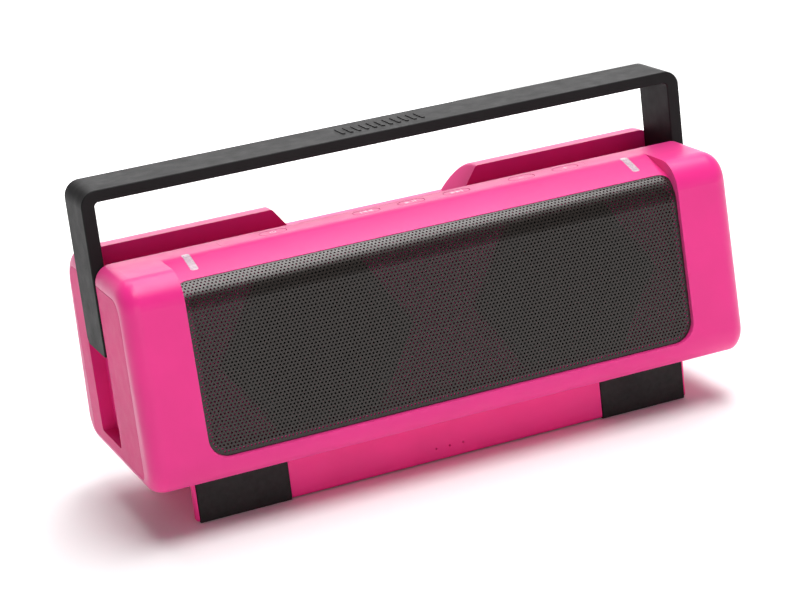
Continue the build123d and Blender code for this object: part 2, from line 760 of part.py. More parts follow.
# Drivers, built up from the baffle: heights are measured from its front face
plate_top = gasket_thickness + plate_thickness
hexagon = [
    (plate_half_width, 0),
    (plate_flat_half, plate_half_height),
    (-plate_flat_half, plate_half_height),
    (-plate_half_width, 0),
    (-plate_flat_half, -plate_half_height),
    (plate_flat_half, -plate_half_height),
]
for side, sign in sides.items():
    x = sign * driver_x
    with BuildPart() as driver_gasket:
        with BuildSketch(driver_plane(x)):
            with BuildLine():
                Polyline(*hexagon, close=True)
            make_face()
            Circle(basket_radius + 1, mode=Mode.SUBTRACT)
            with GridLocations(2 * driver_screw_x, 2 * driver_screw_y, 2, 2):
                Circle(clearance, mode=Mode.SUBTRACT)
        extrude(amount=gasket_thickness)
    driver_gasket.part.label = f"driver_gasket_{side}"
    export_step(driver_gasket.part, f"parts/driver_gasket_{side}.step")

    with BuildPart() as driver_frame:
        with BuildSketch(driver_plane(x, gasket_thickness)):
            with BuildLine():
                Polyline(*hexagon, close=True)
            make_face()
            Circle(basket_radius - 0.5, mode=Mode.SUBTRACT)
            with GridLocations(2 * driver_screw_x, 2 * driver_screw_y, 2, 2):
                Circle(clearance, mode=Mode.SUBTRACT)
        extrude(amount=plate_thickness)
        driver_ring(
            x,
            [
                (basket_radius, plate_top), (basket_radius, -8), (19.5, -20), (8.9, -20),
                (8.9, -18.5), (16.5, -18.5), (16.5, -13.5), (18, -13.5), (18, -18.5),
                (18.8, -18.5), (27.8, -7.6), (27.8, plate_top),
            ],
        )
        # Air windows between the legs of the basket
        with Locations(driver_plane(x, -13.5)):
            with PolarLocations(25.5, 6):
                Box(10, 19, 8, mode=Mode.SUBTRACT)
    driver_frame.part.label = f"driver_frame_{side}"
    export_step(driver_frame.part, f"parts/driver_frame_{side}.step")

    with BuildPart() as cone:
        driver_ring(
            x, [(24.2, 2.8), (22, 2.8), (7.6, -10), (7.6, -10.7), (22.2, 2.3), (24.2, 2.3)]
        )
    cone.part.label = f"cone_{side}"
    export_step(cone.part, f"parts/cone_{side}.step")

    with BuildPart() as dust_cap:
        with BuildSketch(driver_section(x)) as dome:
            with BuildLine():
                TangentArc((0, -5.7), (9.5, -8.31), tangent=(1, 0))
                Line((9.5, -8.31), (9.05, -8.71))
                TangentArc((0, -6.1), (9.05, -8.71), tangent=(1, 0))
                Line((0, -6.1), (0, -5.7))
            make_face()
        revolve(dome.sketch, axis=Axis(driver_plane(x).origin, driver_plane(x).z_dir))
    dust_cap.part.label = f"dust_cap_{side}"
    export_step(dust_cap.part, f"parts/dust_cap_{side}.step")

    with BuildPart() as voice_coil:
        driver_ring(
            x,
            [
                (7.1, -10), (7.6, -10), (7.6, -19), (8, -19),
                (8, -23.5), (7.6, -23.5), (7.6, -24), (7.1, -24),
            ],
        )
    voice_coil.part.label = f"voice_coil_{side}"
    export_step(voice_coil.part, f"parts/voice_coil_{side}.step")

    # Rubber half roll between the cone and the frame
    with BuildPart() as surround:
        with BuildSketch(driver_section(x)) as roll:
            with BuildLine():
                Polyline((24.7, 2.8), (22.4, 2.8), (22.4, 3.3), (24.2, 3.3))
                ThreePointArc((24.2, 3.3), (26.1, 5.0), (28, 3.3))
                Polyline((28, 3.3), (31, 3.3), (31, 2.8), (27.5, 2.8))
                ThreePointArc((27.5, 2.8), (26.1, 4.5), (24.7, 2.8))
            make_face()
        revolve(roll.sketch, axis=Axis(driver_plane(x).origin, driver_plane(x).z_dir))
    surround.part.label = f"surround_{side}"
    export_step(surround.part, f"parts/surround_{side}.step")

    # Corrugated disc that centres the voice coil
    wave = [
        (7.6, -13.1), (9.4, -12.7), (11.2, -13.5), (13, -12.7),
        (14.8, -13.5), (16.2, -13.1), (18, -13.1),
    ]
    with BuildPart() as spider:
        driver_ring(x, wave + [(r, h - 0.4) for r, h in reversed(wave)])
    spider.part.label = f"spider_{side}"
    export_step(spider.part, f"parts/spider_{side}.step")

    with BuildPart() as top_plate:
        driver_ring(x, [(8.6, -20), (17, -20), (17, -22), (8.6, -22)])
    top_plate.part.label = f"top_plate_{side}"
    export_step(top_plate.part, f"parts/top_plate_{side}.step")

    with BuildPart() as magnet:
        driver_ring(x, [(9.8, -22), (19, -22), (19, -30), (9.8, -30)])
        fillet(magnet.edges().filter_by(GeomType.CIRCLE).group_by(SortBy.RADIUS)[-1], 0.6)
    magnet.part.label = f"magnet_{side}"
    export_step(magnet.part, f"parts/magnet_{side}.step")

    with BuildPart() as pole_piece:
        driver_ring(x, [(0, -19.5), (6.4, -19.5), (6.4, -30), (17, -30), (17, -33), (0, -33)])
    pole_piece.part.label = f"pole_piece_{side}"
    export_step(pole_piece.part, f"parts/pole_piece_{side}.step")

with BuildPart() as driver_screws:
    for sign in sides.values():
        with BuildSketch(driver_plane(sign * driver_x, plate_top)):
            with GridLocations(2 * driver_screw_x, 2 * driver_screw_y, 2, 2):
                Circle(2.6)
        extrude(amount=1.6)
        with BuildSketch(driver_plane(sign * driver_x, plate_top)):
            with GridLocations(2 * driver_screw_x, 2 * driver_screw_y, 2, 2):
                Circle(shank)
        extrude(amount=-8.8)
driver_screws.part.label = "driver_screws"
export_step(driver_screws.part, "parts/driver_screws.step")

# Main board on its four posts, with the parts that stand on it
board_x, board_y, board_z = main_board_at
board_top = board_z + board_thickness
board_holes = [side - 2 * board_hole_inset for side in main_board_size]
with BuildPart() as main_board:
    with BuildSketch(Plane.XY.offset(board_z)):
        with Locations((board_x, board_y)):
            RectangleRounded(*main_board_size, 2)
            with GridLocations(*board_holes, 2, 2):
                Circle(1.1, mode=Mode.SUBTRACT)
    extrude(amount=board_thickness)
    # Chips and the shielded radio
    for chip_x, chip_y, length, width, height in (
        (28, 34, 20, 14, 2.6), (-10, 12, 9, 9, 1.2), (4, 34, 7, 5, 1.4), (34, 12, 8, 6, 1.2),
    ):
        box_between(
            (chip_x - length / 2, chip_y - width / 2, board_z + 0.5),
            (chip_x + length / 2, chip_y + width / 2, board_top + height),
        )
main_board.part.label = "main_board"
export_step(main_board.part, "parts/main_board.step")

with BuildPart() as board_capacitors:
    for x in (-36, -23):
        for y in (17, 31):
            rod((x, y, board_top), (0, 0, 1), 5, 12)
    fillet(board_capacitors.faces().group_by(Axis.Z)[-1].edges(), 0.6)
board_capacitors.part.label = "board_capacitors"
export_step(board_capacitors.part, "parts/board_capacitors.step")

with BuildPart() as heat_sink:
    box_between((0, 15, board_top), (22, 27, board_top + 2.5))
    for fin in range(6):
        box_between((fin * 4.1, 15, board_top + 1), (fin * 4.1 + 1.5, 27, board_top + 14))
heat_sink.part.label = "heat_sink"
export_step(heat_sink.part, "parts/heat_sink.step")

with BuildPart() as main_board_screws:
    with BuildSketch(Plane.XY.offset(board_top)):
        with Locations((board_x, board_y)):
            with GridLocations(*board_holes, 2, 2):
                Circle(2)
    extrude(amount=1.4)
    with BuildSketch(Plane.XY.offset(board_top)):
        with Locations((board_x, board_y)):
            with GridLocations(*board_holes, 2, 2):
                Circle(0.8)
    extrude(amount=-7)
main_board_screws.part.label = "main_board_screws"
export_step(main_board_screws.part, "parts/main_board_screws.step")

# Sockets in the rear: heights are measured from the rear face, outwards
aux_at, power_at = (-12.0, 0.0), (10.0, 0.0)
aux_nose, aux_bore, aux_depth = 3.0, 1.78, 11.0
power_nose, power_bore, power_depth, power_pin = 3.9, 2.9, 9.5, 1.0
socket_depth = 12.5
with BuildPart() as socket_plate:
    with BuildSketch(rear_plane(socket_x, socket_z, -socket_plate_thickness)):
        RectangleRounded(*[side - 0.4 for side in socket_plate_size], 2.8)
        with Locations(aux_at):
            Circle(aux_nose + 0.1, mode=Mode.SUBTRACT)
        with Locations(power_at):
            Circle(power_nose + 0.1, mode=Mode.SUBTRACT)
    extrude(amount=socket_plate_thickness)
socket_plate.part.label = "socket_plate"
export_step(socket_plate.part, "parts/socket_plate.step")

with BuildPart() as aux_socket:
    with BuildSketch(rear_plane(socket_x, socket_z, -socket_plate_thickness)):
        with Locations(aux_at):
            Rectangle(9, 9)
    extrude(amount=socket_plate_thickness - socket_depth)
    with BuildSketch(rear_plane(socket_x, socket_z, -socket_plate_thickness)):
        with Locations(aux_at):
            Circle(aux_nose)
    extrude(amount=socket_plate_thickness)
    with BuildSketch(rear_plane(socket_x, socket_z)):
        with Locations(aux_at):
            Circle(aux_bore)
    extrude(amount=-aux_depth, mode=Mode.SUBTRACT)
aux_socket.part.label = "aux_socket"
export_step(aux_socket.part, "parts/aux_socket.step")

with BuildPart() as power_socket:
    with BuildSketch(rear_plane(socket_x, socket_z, -socket_plate_thickness)):
        with Locations(power_at):
            Rectangle(11, 11)
    extrude(amount=socket_plate_thickness - socket_depth)
    with BuildSketch(rear_plane(socket_x, socket_z, -socket_plate_thickness)):
        with Locations(power_at):
            Circle(power_nose)
    extrude(amount=socket_plate_thickness)
    with BuildSketch(rear_plane(socket_x, socket_z)):
        with Locations(power_at):
            Circle(power_bore)
            Circle(power_pin, mode=Mode.SUBTRACT)
    extrude(amount=-power_depth, mode=Mode.SUBTRACT)
    with BuildSketch(rear_plane(socket_x, socket_z)):
        with Locations(power_at):
            Circle(power_bore)
    extrude(amount=-1.0, mode=Mode.SUBTRACT)
power_socket.part.label = "power_socket"
export_step(power_socket.part, "parts/power_socket.step")

with BuildPart() as socket_board:
    with BuildSketch(rear_plane(socket_x, socket_z, -socket_depth)):
        RectangleRounded(44, 16, 1)
    extrude(amount=-board_thickness)
socket_board.part.label = "socket_board"
export_step(socket_board.part, "parts/socket_board.step")
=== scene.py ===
import json
from math import atan2, ceil, cos, hypot, radians, sin, sqrt, tan

import bpy
from mathutils import Matrix, Vector
from mathutils.geometry import delaunay_2d_cdt


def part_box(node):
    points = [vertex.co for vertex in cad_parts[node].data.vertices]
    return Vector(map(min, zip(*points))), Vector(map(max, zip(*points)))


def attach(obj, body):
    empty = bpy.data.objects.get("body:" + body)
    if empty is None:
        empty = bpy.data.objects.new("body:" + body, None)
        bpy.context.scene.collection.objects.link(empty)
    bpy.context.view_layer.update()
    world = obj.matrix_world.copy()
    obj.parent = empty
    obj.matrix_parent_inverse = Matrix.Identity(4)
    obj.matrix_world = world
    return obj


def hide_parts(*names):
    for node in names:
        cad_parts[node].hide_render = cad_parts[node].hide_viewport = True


# Portable speaker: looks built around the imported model. Metres, +X right, -Y front, +Z up.
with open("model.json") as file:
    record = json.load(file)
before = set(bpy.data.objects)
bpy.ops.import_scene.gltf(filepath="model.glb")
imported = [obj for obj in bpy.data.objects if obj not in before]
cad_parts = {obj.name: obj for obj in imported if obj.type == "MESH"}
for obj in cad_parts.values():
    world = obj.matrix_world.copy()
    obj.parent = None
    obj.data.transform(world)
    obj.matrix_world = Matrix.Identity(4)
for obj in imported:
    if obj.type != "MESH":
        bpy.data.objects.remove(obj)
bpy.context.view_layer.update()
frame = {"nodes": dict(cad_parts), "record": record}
nodes = frame["nodes"]
mm = 0.001

# Shape of the grille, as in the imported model
lean = radians(4.1)
slope = radians(17.9)
bend_radius = 14.0 * mm
low_corner, high_corner = 9.7 * mm, 4.7 * mm
sheet_front, sheet_back = 0.25 * mm, 0.95 * mm
hole_pitch = 1.8 * mm
hole_radius = 0.52 * mm
hole_sides = 7
solid_border = 0.4 * mm
outline_step = 2 * mm
corner_steps = 10

# Printed symbols on the keys
symbol_height = 3.4 * mm
print_thickness = 0.06 * mm
print_lift = 0.01 * mm

floor_radius = 0.75

# Studio lights: where each box stands, its width and height, and its power in watts
studio_middle = Vector((0, 0, 0.07))
softboxes = {
    "overhead": ((0.25, -0.15, 1.5), (1.6, 0.7), 30),
    "rear_high": ((0.2, 1.0, 1.5), (1.3, 0.8), 15),
    "rear_low": ((0.8, 1.7, 0.6), (2.0, 1.0), 11),
    "front": ((-0.5, -1.9, 0.35), (1.0, 0.5), 4.5),
}

# Surroundings: their strength, and how bright they are at heights above horizon_shift below level
surround_strength = 1.15
horizon_shift = 0.05
surround_levels = ((0.02, 1.0), (0.06, 0.3), (0.4, 0.26), (0.8, 0.1))

# Camera: where it stands, what it looks at, how far it is rolled, and its lens
camera_at = Vector((-0.38572, -1.02507, 0.40368))
camera_target = Vector((0.001814, 0.02137, 0.066838))
camera_roll = radians(7.051)
camera_lens = 110.0

slot_of = {part["node"]: part["material_slot"] for part in frame["record"]["subparts"]}


def linear(red, green, blue):
    """A colour given as 0 to 255 screen values, in the linear values that shaders take."""
    out = []
    for value in (red, green, blue):
        share = value / 255
        out.append(share / 12.92 if share <= 0.04045 else ((share + 0.055) / 1.055) ** 2.4)
    return (*out, 1.0)


# ---------------------------------------------------------------- materials


class Finish:
    """A node material around one Principled shader, textured in the object's own space."""

    def __init__(self, name, **constants):
        self.material = bpy.data.materials.new(name)
        self.material.use_nodes = True
        self.tree = self.material.node_tree
        self.shader = self.tree.nodes["Principled BSDF"]
        self.place = self.add("ShaderNodeTexCoord").outputs["Object"]
        self.heights = []
        for socket, value in constants.items():
            self.shader.inputs[socket.replace("_", " ")].default_value = value

    def add(self, kind, **settings):
        """A new node, with its properties and its sockets set by name."""
        node = self.tree.nodes.new(kind)
        for key, value in settings.items():
            if key in node.inputs:
                node.inputs[key].default_value = value
            else:
                setattr(node, key, value)
        return node

    def link(self, source, target):
        self.tree.links.new(source, target)

    def noise(self, scale, detail=3.0, stretch=(1, 1, 1)):
        """Noise with features about 1/scale metres across."""
        mapping = self.add("ShaderNodeMapping", Scale=stretch)
        self.link(self.place, mapping.inputs["Vector"])
        node = self.add("ShaderNodeTexNoise", Scale=scale, Detail=detail, Roughness=0.55)
        self.link(mapping.outputs["Vector"], node.inputs["Vector"])
        return node.outputs["Fac"]

    def cells(self, scale):
        """Voronoi cells about 1/scale metres across."""
        node = self.add("ShaderNodeTexVoronoi", Scale=scale)
        self.link(self.place, node.inputs["Vector"])
        return node.outputs["Distance"]

    def ramp(self, value, *stops):
        """value run through a colour ramp, given as (position, colour) pairs."""
        node = self.add("ShaderNodeValToRGB")
        elements = node.color_ramp.elements
        while len(elements) < len(stops):
            elements.new(0.5)
        for element, (position, colour) in zip(elements, stops):
            element.position = position
            element.color = colour
        self.link(value, node.inputs["Fac"])
        return node.outputs["Color"]

    def spread(self, value, low, high):
        """value, centred on 0.5 as noise is, spread to run from low to high."""
        node = self.add("ShaderNodeMapRange")
        node.inputs["From Min"].default_value = 0.3
        node.inputs["From Max"].default_value = 0.7
        node.inputs["To Min"].default_value = low
        node.inputs["To Max"].default_value = high
        self.link(value, node.inputs["Value"])
        return node.outputs["Result"]

    def colour(self, source):
        self.link(source, self.shader.inputs["Base Color"])

    def roughness(self, source):
        self.link(source, self.shader.inputs["Roughness"])

    def bump(self, source, depth):
        """Adds a bump that is depth metres high to those already there."""
        node = self.add("ShaderNodeBump", Distance=depth, Strength=1.0)
        self.link(source, node.inputs["Height"])
        if self.heights:
            self.link(self.heights[-1], node.inputs["Normal"])
        self.heights.append(node.outputs["Normal"])
        self.link(self.heights[-1], self.shader.inputs["Normal"])


def moulded(name, colour, variation=0.05, rough=(0.34, 0.42), texture=0.012, **constants):
    """Moulded plastic: soft broad colour drift, fine surface texture, uneven gloss."""
    finish = Finish(name, **constants)
    base = Vector(colour[:3])
    darker = (*(base * (1 - variation)), 1)
    lighter = (*(base * (1 + variation)), 1)
    finish.colour(finish.ramp(finish.noise(26), (0.36, darker), (0.64, lighter)))
    finish.roughness(finish.spread(finish.noise(150, detail=5), *rough))
    finish.bump(finish.noise(2600, detail=2), texture * mm)
    finish.bump(finish.noise(45, detail=1), 0.02 * mm)
    return finish


def rubber(name, colour):
    """Moulded rubber: matt, with a pebbled surface and a dusty drift in its colour."""
    finish = Finish(name, Specular_IOR_Level=0.35)
    base = Vector(colour[:3])
    finish.colour(
        finish.ramp(finish.noise(60, detail=6), (0.35, (*(base * 0.8), 1)), (0.65, (*(base * 1.5), 1)))
    )
    finish.roughness(finish.spread(finish.noise(400), 0.55, 0.72))
    finish.bump(finish.cells(1500), 0.03 * mm)
    return finish


def metal(name, colour, rough, brushed=(1, 1, 1), scale=900):
    """Metal: uneven reflections, and fine lines where brushed stretches the noise."""
    finish = Finish(name, Metallic=1.0)
    base = Vector(colour[:3])
    finish.colour(
        finish.ramp(finish.noise(80, detail=5), (0.3, (*(base * 0.85), 1)), (0.7, (*(base * 1.1), 1)))
    )
    lines = finish.noise(scale, detail=4, stretch=brushed)
    finish.roughness(finish.spread(lines, *rough))
    finish.bump(lines, 0.006 * mm)
    return finish


def painted_sheet(name):
    """Dark metallic paint on the perforated sheet: flakes under a satin coat."""
    finish = Finish(name, Metallic=0.4, Specular_IOR_Level=0.2, Coat_Weight=0.6, Coat_Roughness=0.26)
    flakes = finish.cells(5200)
    finish.colour(
        finish.ramp(
            flakes, (0.0, linear(56, 46, 41)), (0.5, linear(34, 28, 25)), (1.0, linear(24, 20, 18))
        )
    )
    finish.roughness(finish.spread(finish.noise(300, detail=4), 0.34, 0.46))
    finish.bump(finish.noise(1800), 0.008 * mm)
    return finish


def lens(name):
    """Milky lens of the light bars."""
    finish = Finish(name, IOR=1.49, Coat_Weight=0.3, Coat_Roughness=0.15)
    finish.colour(
        finish.ramp(finish.noise(300), (0.35, linear(186, 162, 174)), (0.65, linear(204, 180, 192)))
    )
    finish.roughness(finish.spread(finish.noise(700), 0.2, 0.34))
    finish.bump(finish.noise(900), 0.01 * mm)
    return finish


def paper(name):
    """Pressed fibre pulp of the cones."""
    finish = Finish(name, Specular_IOR_Level=0.3)
    finish.colour(
        finish.ramp(finish.noise(500, detail=8), (0.3, linear(26, 26, 28)), (0.7, linear(52, 51, 53)))
    )
    finish.roughness(finish.spread(finish.noise(200), 0.7, 0.85))
    finish.bump(finish.noise(1400, detail=6), 0.08 * mm)
    return finish


def cloth(name):
    """Resin-stiffened woven cloth of the spiders."""
    finish = Finish(name, Sheen_Weight=0.3)
    weave = finish.add("ShaderNodeTexBrick", Scale=1400.0, offset=0.5, squash=1.0)
    weave.inputs["Color1"].default_value = linear(190, 150, 84)
    weave.inputs["Color2"].default_value = linear(170, 130, 70)
    weave.inputs["Mortar"].default_value = linear(96, 70, 34)
    finish.link(finish.place, weave.inputs["Vector"])
    finish.colour(weave.outputs["Color"])
    finish.roughness(finish.spread(finish.noise(300), 0.75, 0.9))
    finish.bump(weave.outputs["Fac"], 0.05 * mm)
    return finish


def winding(name):
    """Enamelled copper wire, laid turn on turn."""
    finish = Finish(name, Metallic=0.9, Coat_Weight=0.6)
    turns = finish.add("ShaderNodeTexWave", Scale=900.0, Distortion=0.2, bands_direction="Y")
    finish.link(finish.place, turns.inputs["Vector"])
    finish.colour(
        finish.ramp(turns.outputs["Fac"], (0.2, linear(110, 48, 22)), (0.8, linear(205, 116, 66)))
    )
    finish.roughness(finish.spread(finish.noise(500), 0.25, 0.4))
    finish.bump(turns.outputs["Fac"], 0.05 * mm)
    return finish


def circuit_board(name):
    """Glass fibre board: solder mask with raised tracks under it."""
    finish = Finish(name, Coat_Weight=0.5, Coat_Roughness=0.2)
    tracks = finish.add("ShaderNodeTexBrick", Scale=260.0, offset=0.37, squash=2.2)
    tracks.inputs["Color1"].default_value = linear(18, 92, 52)
    tracks.inputs["Color2"].default_value = linear(14, 78, 44)
    tracks.inputs["Mortar"].default_value = linear(40, 128, 78)
    tracks.inputs["Mortar Size"].default_value = 0.03
    finish.link(finish.place, tracks.inputs["Vector"])
    finish.colour(tracks.outputs["Color"])
    finish.roughness(finish.spread(finish.noise(600), 0.3, 0.42))
    finish.bump(tracks.outputs["Fac"], 0.03 * mm)
    return finish


def ceramic(name):
    """Sintered ferrite: dark, dense, faintly pitted."""
    finish = Finish(name)
    finish.colour(
        finish.ramp(finish.noise(900, detail=8), (0.3, linear(40, 40, 43)), (0.7, linear(72, 72, 76)))
    )
    finish.roughness(finish.spread(finish.noise(250), 0.45, 0.62))
    finish.bump(finish.cells(2200), 0.02 * mm)
    return finish


def printed(name):
    """Screen printed ink, slightly uneven."""
    finish = Finish(name)
    finish.colour(
        finish.ramp(finish.noise(900), (0.35, linear(232, 190, 210)), (0.65, linear(246, 214, 228)))
    )
    finish.roughness(finish.spread(finish.noise(1200), 0.4, 0.55))
    finish.bump(finish.noise(3000), 0.004 * mm)
    return finish


finishes = {
    "body_pink": moulded(
        "body_pink", linear(225, 38, 130), 0.03, (0.33, 0.41), Specular_IOR_Level=0.35,
        Sheen_Weight=0.12, Sheen_Roughness=0.5,
    ),
    "panel_pink": moulded(
        "panel_pink", linear(222, 36, 122), 0.04, (0.46, 0.54), 0.02, Specular_IOR_Level=0.2
    ),
    # The plinth's pink is the body's pink painted lighter: painted light that makes up for the shade
    # the body casts over the plinth.
    "plinth_pink": moulded("plinth_pink", linear(240, 38, 136), 0.04, (0.42, 0.52), 0.02),
    "strip_pink": moulded(
        "strip_pink", linear(225, 38, 130), 0.02, (0.33, 0.41), 0.008, Specular_IOR_Level=0.35,
        Sheen_Weight=0.2, Sheen_Roughness=0.5
    ),
    "handle_black": moulded(
        "handle_black", linear(22, 20, 21), 0.14, (0.5, 0.6), 0.02, Specular_IOR_Level=0.16
    ),
    "grille_steel": painted_sheet("grille_steel"),
    "rubber_black": rubber("rubber_black", linear(22, 20, 19)),
    "nylon_black": moulded("nylon_black", linear(34, 34, 36), 0.1, (0.4, 0.5), 0.015),
    "steel_screw": metal("steel_screw", linear(84, 84, 88), (0.34, 0.48)),
    "frame_black": moulded("frame_black", linear(24, 24, 26), 0.12, (0.45, 0.55), 0.02),
    "cone_paper": paper("cone_paper"),
    "spider_cloth": cloth("spider_cloth"),
    "coil_copper": winding("coil_copper"),
    "motor_steel": metal("motor_steel", linear(176, 178, 182), (0.3, 0.45), (1, 1, 8), 500),
    "magnet_ferrite": ceramic("magnet_ferrite"),
    "lens_white": lens("lens_white"),
    "board_green": circuit_board("board_green"),
    "battery_wrap": moulded(
        "battery_wrap", linear(38, 92, 160), 0.1, (0.15, 0.25), 0.01, Coat_Weight=0.5
    ),
    "capacitor_can": metal("capacitor_can", linear(186, 188, 192), (0.2, 0.3), (1, 1, 10), 600),
    "sink_aluminium": metal("sink_aluminium", linear(196, 198, 202), (0.32, 0.44), (1, 10, 1), 500),
    "key_print": printed("key_print"),
}

for name, node in nodes.items():
    node.data.materials.clear()
    node.data.materials.append(finishes[slot_of[name]].material)


# ---------------------------------------------------------------- pieces


def add_piece(name, points, faces, finish, body, sharp=30):
    """A mesh object from its points and faces, with its finish, riding on a body."""
    mesh = bpy.data.meshes.new(name)
    mesh.from_pydata([tuple(point) for point in points], [], faces)
    mesh.validate()
    mesh.shade_smooth()
    mesh.set_sharp_from_angle(angle=radians(sharp))
    mesh.materials.append(finishes[finish].material)
    piece = bpy.data.objects.new(name, mesh)
    bpy.context.scene.collection.objects.link(piece)
    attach(piece, body)
    return piece


def arc(centre, radius, start, end, steps):
    """Points on an arc, from one angle in degrees to the other, both included."""
    span = [radians(start + (end - start) * step / steps) for step in range(steps + 1)]
    return [(centre[0] + radius * cos(angle), centre[1] + radius * sin(angle)) for angle in span]


class GrilleSection:
    """The grille's outer line from the side: up the leaning front, round the bend, up the slope."""

    def __init__(self):
        low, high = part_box("grille")
        start = Vector((low.y, low.z))
        end = Vector((high.y, high.z))
        up_front = Vector((sin(lean), cos(lean)))
        up_slope = Vector((cos(slope), sin(slope)))
        across = up_front.x * up_slope.y - up_front.y * up_slope.x
        gap = end - start
        reach = (gap.x * up_slope.y - gap.y * up_slope.x) / across
        corner = start + up_front * reach
        turn = atan2(up_front.y, up_front.x) - atan2(up_slope.y, up_slope.x)
        tangent = bend_radius * tan(turn / 2)
        self.start, self.up_front, self.up_slope = start, up_front, up_slope
        self.front_length = reach - tangent
        self.bend_length = bend_radius * turn
        self.bend_centre = corner - up_front * tangent + Vector((up_front.y, -up_front.x)) * bend_radius
        self.slope_start = corner + up_slope * tangent
        self.length = self.front_length + self.bend_length + (end - self.slope_start).length
        self.half_width = high.x

    def at(self, run):
        """The point (y, z) and the outward normal at a length along the line."""
        if run <= self.front_length:
            return self.start + self.up_front * run, Vector((-self.up_front.y, self.up_front.x))
        if run < self.front_length + self.bend_length:
            first = Vector((-self.up_front.y, self.up_front.x))
            angle = -(run - self.front_length) / bend_radius
            normal = Matrix.Rotation(angle, 2) @ first
            return self.bend_centre + normal * bend_radius, normal
        past = run - self.front_length - self.bend_length
        return self.slope_start + self.up_slope * past, Vector((-self.up_slope.y, self.up_slope.x))


def build_grille():
    """The perforated sheet: staggered round holes with walls, inside a plain border."""
    section = GrilleSection()
    half, length = section.half_width, section.length

    def inside(x, run):
        """How far a point is inside the sheet's outline."""
        radius = low_corner if run < length / 2 else high_corner
        over_x = abs(x) - (half - radius)
        over_run = abs(run - length / 2) - (length / 2 - radius)
        return radius - hypot(max(over_x, 0), max(over_run, 0)) - min(max(over_x, over_run), 0)

    def straight(start, end):
        """Points along a straight edge, without its two ends."""
        count = ceil(hypot(end[0] - start[0], end[1] - start[1]) / outline_step)
        return [
            (
                start[0] + (end[0] - start[0]) * index / count,
                start[1] + (end[1] - start[1]) * index / count,
            )
            for index in range(1, count)
        ]

    corners = [
        arc((half - low_corner, low_corner), low_corner, -90, 0, corner_steps),
        arc((half - high_corner, length - high_corner), high_corner, 0, 90, corner_steps),
        arc((high_corner - half, length - high_corner), high_corner, 90, 180, corner_steps),
        arc((low_corner - half, low_corner), low_corner, 180, 270, corner_steps),
    ]
    outline = []
    for index, corner in enumerate(corners):
        following = corners[(index + 1) % 4]
        outline += corner + straight(corner[-1], following[0])

    rings = [outline]
    row_step = hole_pitch * sqrt(3) / 2
    rows = int(length / row_step) + 1
    columns = int(half / hole_pitch) + 1
    for row in range(rows):
        run = length / 2 + (row - (rows - 1) / 2) * row_step
        for column in range(-columns, columns + 1):
            x = (column + 0.5 * (row % 2)) * hole_pitch
            if inside(x, run) > hole_radius + solid_border:
                rings.append(arc((x, run), hole_radius, 0, 360 - 360 / hole_sides, hole_sides - 1))

    flat, owner, edges = [], [], []
    for index, ring in enumerate(rings):
        first = len(flat)
        flat += [Vector(point) for point in ring]
        owner += [index] * len(ring)
        edges += [(first + step, first + (step + 1) % len(ring)) for step in range(len(ring))]
    placed, _, triangles, origins, _, _ = delaunay_2d_cdt(flat, edges, [], 0, 1e-9)
    ring_of = [owner[origin[0]] if origin else 0 for origin in origins]
    faces = []
    for triangle in triangles:
        owners = {ring_of[corner] for corner in triangle}
        if len(owners) > 1 or owners == {0}:
            faces.append(tuple(triangle))

    points = []
    for depth in (sheet_front, sheet_back):
        for x, run in placed:
            (y, z), normal = section.at(run)
            points.append((x, y - normal.x * depth, z - normal.y * depth))
    back = len(placed)
    new_index = {origin[0]: index for index, origin in enumerate(origins) if origin}
    for start, end in edges:
        a, b = new_index[start], new_index[end]
        if owner[start] == 0:
            faces.append((a, a + back, b + back, b))
        else:
            faces.append((a, b, b + back, a + back))
    grille = add_piece("grille_perforated", points, faces, "grille_steel", "body", 40)
    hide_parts("grille")


def symbol_shapes(name):
    """The outlines of a key's symbol, in units of half its height."""
    bar = [(-0.16, -0.9), (0.16, -0.9), (0.16, 0.9), (-0.16, 0.9)]
    triangle = [(-0.8, -0.9), (0.8, 0.0), (-0.8, 0.9)]
    dash = [(-0.8, -0.16), (0.8, -0.16), (0.8, 0.16), (-0.8, 0.16)]
    plus = [
        (-0.16, -0.8), (0.16, -0.8), (0.16, -0.16), (0.8, -0.16), (0.8, 0.16), (0.16, 0.16),
        (0.16, 0.8), (-0.16, 0.8), (-0.16, 0.16), (-0.8, 0.16), (-0.8, -0.16), (-0.16, -0.16),
    ]

    def moved(shape, by, flip=1):
        points = [(flip * x + by, y) for x, y in shape]
        return points if flip > 0 else points[::-1]

    if name == "power":
        ring = arc((0, 0), 0.9, 125, 415, 22) + arc((0, 0), 0.62, 415, 125, 22)
        return [ring, [(x * 0.9, y * 0.5 + 0.6) for x, y in bar]]
    if name == "play":
        return [moved(triangle, -1.1), moved(bar, 0.5), moved(bar, 1.2)]
    if name == "next":
        return [moved(triangle, -1.0), moved(triangle, 0.6), moved(bar, 1.6)]
    if name == "previous":
        return [moved(triangle, 1.0, -1), moved(triangle, -0.6, -1), moved(bar, -1.6)]
    if name == "volume_down":
        return [dash]
    return [plus]


def build_symbol(name):
    """The printed symbol of one key: thin plates that follow the cap."""
    low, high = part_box(f"key_{name}")
    centre = (low + high) / 2
    points, faces = [], []
    for shape in symbol_shapes(name):
        first, count = len(points), len(shape)
        for z in (high.z + print_lift, high.z + print_thickness):
            for x, y in shape:
                points.append(
                    (centre.x + x * symbol_height / 2, centre.y + y * symbol_height / 2, z)
                )
        top = list(range(first + count, first + 2 * count))
        faces.append(top)
        for step in range(count):
            following = (step + 1) % count
            faces.append((first + step, first + following, top[following], top[step]))
    add_piece(f"symbol_{name}", points, faces, "key_print", f"key_{name}_body")


build_grille()
for key in ("power", "previous", "play", "next", "volume_down", "volume_up"):
    build_symbol(key)


# ---------------------------------------------------------------- stage


